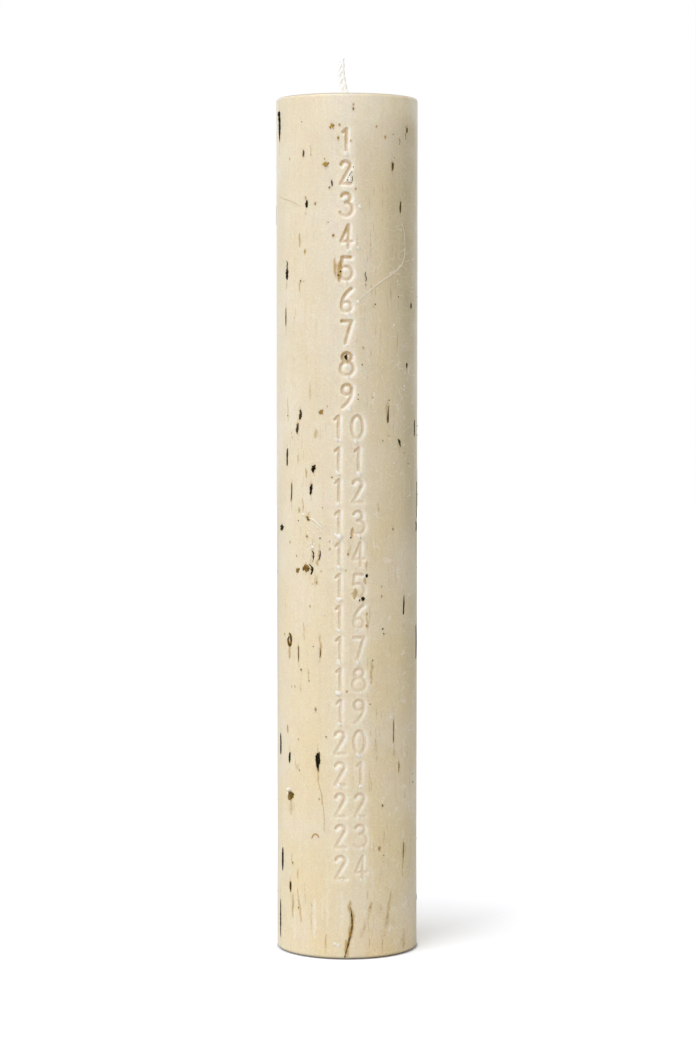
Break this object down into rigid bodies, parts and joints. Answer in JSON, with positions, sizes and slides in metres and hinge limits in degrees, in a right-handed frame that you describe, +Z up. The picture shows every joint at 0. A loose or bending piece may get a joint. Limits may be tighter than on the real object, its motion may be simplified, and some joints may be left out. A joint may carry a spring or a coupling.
{
  "type": "calendar candle",
  "caption": "Tall cream wax pillar candle with a column of day numbers pressed into its front, flecked with bark slivers and seed husks, on a plaited cotton wick.",
  "frame": {"origin": "middle of the foot, on the surface that the candle stands on", "axes": "+Z up along the wick, -Y towards the numerals, +X to the right of someone who reads them"},
  "size_m": [0.0502, 0.0502, 0.3167],
  "materials": {
    "wax": "satin wax, cream, with faint vertical streaks",
    "cotton": "plaited cotton, primed",
    "tin": "pressed tinplate",
    "bark": "dark dry bark",
    "husk": "brown seed husk and stalk"
  },
  "bodies": {
    "root": {"wax_pillar": "wax", "wick_clip": "tin", "wick_strand_a": "cotton", "wick_strand_b": "cotton", "wick_strand_c": "cotton", "bark_sliver_01": "bark", "bark_sliver_02": "bark", "bark_sliver_03": "bark", "bark_sliver_04": "bark", "bark_sliver_05": "bark", "bark_sliver_06": "bark", "bark_sliver_07": "bark", "bark_sliver_08": "bark", "bark_sliver_09": "bark", "bark_sliver_10": "bark", "bark_sliver_11": "bark", "bark_sliver_12": "bark", "bark_sliver_13": "bark", "bark_sliver_14": "bark", "bark_sliver_15": "bark", "bark_sliver_16": "bark", "bark_sliver_17": "bark", "bark_sliver_18": "bark", "bark_sliver_19": "bark", "bark_sliver_20": "bark", "bark_sliver_21": "bark", "bark_sliver_22": "bark", "bark_sliver_23": "bark", "bark_sliver_24": "bark", "bark_sliver_25": "bark", "bark_sliver_26": "bark", "bark_sliver_27": "bark", "bark_sliver_28": "bark", "bark_sliver_29": "bark", "bark_sliver_30": "bark", "bark_sliver_31": "bark", "bark_sliver_32": "bark", "bark_sliver_33": "bark", "bark_sliver_34": "bark", "bark_sliver_35": "bark", "bark_sliver_36": "bark", "bark_sliver_37": "bark", "bark_sliver_38": "bark", "bark_sliver_39": "bark", "seed_husk_01": "husk", "seed_husk_02": "husk", "seed_husk_03": "husk", "seed_husk_04": "husk", "seed_husk_05": "husk", "seed_husk_06": "husk", "seed_husk_07": "husk", "seed_husk_08": "husk", "dry_stalk": "husk", "back_slivers": "bark"}
  },
  "joints": []
}
